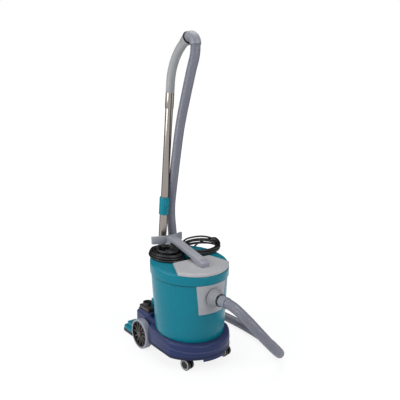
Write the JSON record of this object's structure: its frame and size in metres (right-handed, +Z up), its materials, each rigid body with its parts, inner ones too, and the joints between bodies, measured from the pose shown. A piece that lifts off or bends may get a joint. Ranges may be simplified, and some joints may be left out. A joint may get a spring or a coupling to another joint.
{
  "type": "tub vacuum cleaner",
  "caption": "Wheeled round tub vacuum cleaner with lift-off motor lid, front hose coupling, ribbed hose, telescopic wand with bent grip and parked floor nozzle.",
  "frame": {"origin": "on the floor, in the middle of the machine with its parked wand, hose and mains lead left out", "axes": "+Z up, the hose coupling at the front looks along -Y, the wand stands at the back"},
  "size_m": [0.5172, 0.7346, 1.3273],
  "materials": {
    "tub_plastic": "glossy moulded",
    "grey_plastic": "fine grain",
    "chassis_plastic": "fine grain",
    "soft_tyre": "smooth",
    "black_plastic": "fine grain",
    "steel": "bright",
    "plated_tube": "polished",
    "teal_plastic": "glossy moulded",
    "button_plastic": "fine grain",
    "hose_plastic": "ribbed",
    "cord_rubber": "smooth",
    "seal_rubber": "smooth",
    "filter_fabric": "felt",
    "card": "card",
    "winding": "varnished",
    "bristle": "bristle"
  },
  "bodies": {
    "chassis": {"base_chassis": "chassis_plastic", "rear_axle": "steel", "tub": "tub_plastic", "tub_screws": "steel", "inlet_panel": "grey_plastic", "inlet_socket": "grey_plastic", "dust_bag": "filter_fabric", "bag_collar": "card", "park_clip": "black_plastic", "wand_cuff": "teal_plastic", "wand_lower": "plated_tube", "wand_collar": "teal_plastic", "hose": "hose_plastic"},
    "wheel_left": {"wheel_rim_left": "grey_plastic", "tyre_left": "soft_tyre", "hub_cap_left": "black_plastic"},
    "wheel_right": {"wheel_rim_right": "grey_plastic", "tyre_right": "soft_tyre", "hub_cap_right": "black_plastic"},
    "caster_left": {"caster_housing_left": "black_plastic"},
    "caster_left_roller": {"caster_wheels_left": "black_plastic"},
    "caster_right": {"caster_housing_right": "black_plastic"},
    "caster_right_roller": {"caster_wheels_right": "black_plastic"},
    "lid": {"lid_shell": "tub_plastic", "rim_gasket": "seal_rubber", "motor_plate": "black_plastic", "plate_screws": "steel", "motor_mount": "seal_rubber", "motor_housing": "steel", "motor_bearings": "steel", "field_coils": "winding", "filter_basket": "black_plastic", "filter_cloth": "filter_fabric", "exhaust_filter": "filter_fabric", "switch_frame": "black_plastic", "lid_cap": "grey_plastic", "carry_handle": "grey_plastic", "cord_gland": "cord_rubber", "cord_tail": "cord_rubber", "cord_coil": "cord_rubber", "power_plug": "black_plastic"},
    "rotor": {"motor_shaft": "steel", "fan_wheel": "steel", "armature": "winding"},
    "rocker": {"power_rocker": "black_plastic"},
    "hose_coupling": {"hose_sleeve": "hose_plastic", "locking_ring": "black_plastic"},
    "upper_wand": {"wand_upper": "plated_tube", "wand_ferrule": "plated_tube", "grip_tube": "grey_plastic", "swivel_ring": "black_plastic", "hose_elbow": "hose_plastic"},
    "button": {"collar_button": "button_plastic"},
    "neck": {"nozzle_neck": "black_plastic", "neck_pin": "steel"},
    "floor_nozzle": {"nozzle_body": "teal_plastic", "nozzle_sole": "steel"},
    "pedal": {"nozzle_pedal": "teal_plastic"},
    "brush": {"brush_strip": "bristle"},
    "loose_tool": {"small_nozzle": "black_plastic"}
  },
  "joints": [
    {"name": "wheel_left_spin", "type": "hinge", "parent": "chassis", "child": "wheel_left", "pos_m": [-0.142, 0.084, 0.065], "axis": [1, 0, 0], "continuous": true},
    {"name": "wheel_right_spin", "type": "hinge", "parent": "chassis", "child": "wheel_right", "pos_m": [0.142, 0.084, 0.065], "axis": [1, 0, 0], "continuous": true},
    {"name": "caster_left_swivel", "type": "hinge", "parent": "chassis", "child": "caster_left", "pos_m": [-0.097, -0.176, 0.05], "axis": [0, 0, 1], "continuous": true},
    {"name": "caster_left_roll", "type": "hinge", "parent": "caster_left", "child": "caster_left_roller", "pos_m": [-0.09388, -0.19067, 0.024], "axis": [0.9781, 0.2079, 0], "continuous": true},
    {"name": "caster_right_swivel", "type": "hinge", "parent": "chassis", "child": "caster_right", "pos_m": [0.097, -0.176, 0.05], "axis": [0, 0, 1], "continuous": true},
    {"name": "caster_right_roll", "type": "hinge", "parent": "caster_right", "child": "caster_right_roller", "pos_m": [0.10012, -0.19067, 0.024], "axis": [0.9781, 0.2079, 0], "continuous": true},
    {"name": "lid_lift", "type": "slide", "parent": "chassis", "child": "lid", "axis": [0, -0.0785, 0.9969], "range_m": [0, 0.06]},
    {"name": "fan_spin", "type": "hinge", "parent": "lid", "child": "rotor", "pos_m": [0, -0.079, 0.366], "axis": [0, -0.0785, 0.9969], "continuous": true},
    {"name": "rocker_tilt", "type": "hinge", "parent": "lid", "child": "rocker", "pos_m": [0.14501, -0.01138, 0.398], "axis": [0, 0, 1], "range_deg": [-7, 7]},
    {"name": "hose_swivel", "type": "hinge", "parent": "chassis", "child": "hose_coupling", "pos_m": [0, -0.299, 0.3], "axis": [0, -1, 0], "continuous": true},
    {"name": "wand_telescope", "type": "slide", "parent": "chassis", "child": "upper_wand", "axis": [0, 0.1168, -0.9932], "range_m": [0, 0.38], "deforming": ["hose"]},
    {"name": "button_press", "type": "slide", "parent": "chassis", "child": "button", "axis": [0, 0.9932, 0.1168], "range_m": [0, 0.003], "stiffness_N_per_m": 500, "springref_m": -0.001},
    {"name": "neck_swivel", "type": "hinge", "parent": "chassis", "child": "neck", "pos_m": [0, 0.172, 0.1], "axis": [0, -0.1168, 0.9932], "range_deg": [-8, 8]},
    {"name": "nozzle_tilt", "type": "hinge", "parent": "neck", "child": "floor_nozzle", "pos_m": [0, 0.233, 0.04], "axis": [1, 0, 0], "range_deg": [-5, 60]},
    {"name": "pedal_rock", "type": "hinge", "parent": "floor_nozzle", "child": "pedal", "pos_m": [-0.094, 0.22, 0.028], "axis": [-1, 0, 0], "range_deg": [0, 5.5]},
    {"name": "brush_drop", "type": "slide", "parent": "floor_nozzle", "child": "brush", "axis": [0, 0, -1], "range_m": [0, 0.0065]},
    {"name": "tool_lift", "type": "slide", "parent": "chassis", "child": "loose_tool", "axis": [0, 0, 1], "range_m": [0, 0.08]}
  ],
  "couplings": [
    {"joint": "brush_drop", "follows": "pedal_rock", "m_per_rad": 0.0624}
  ]
}
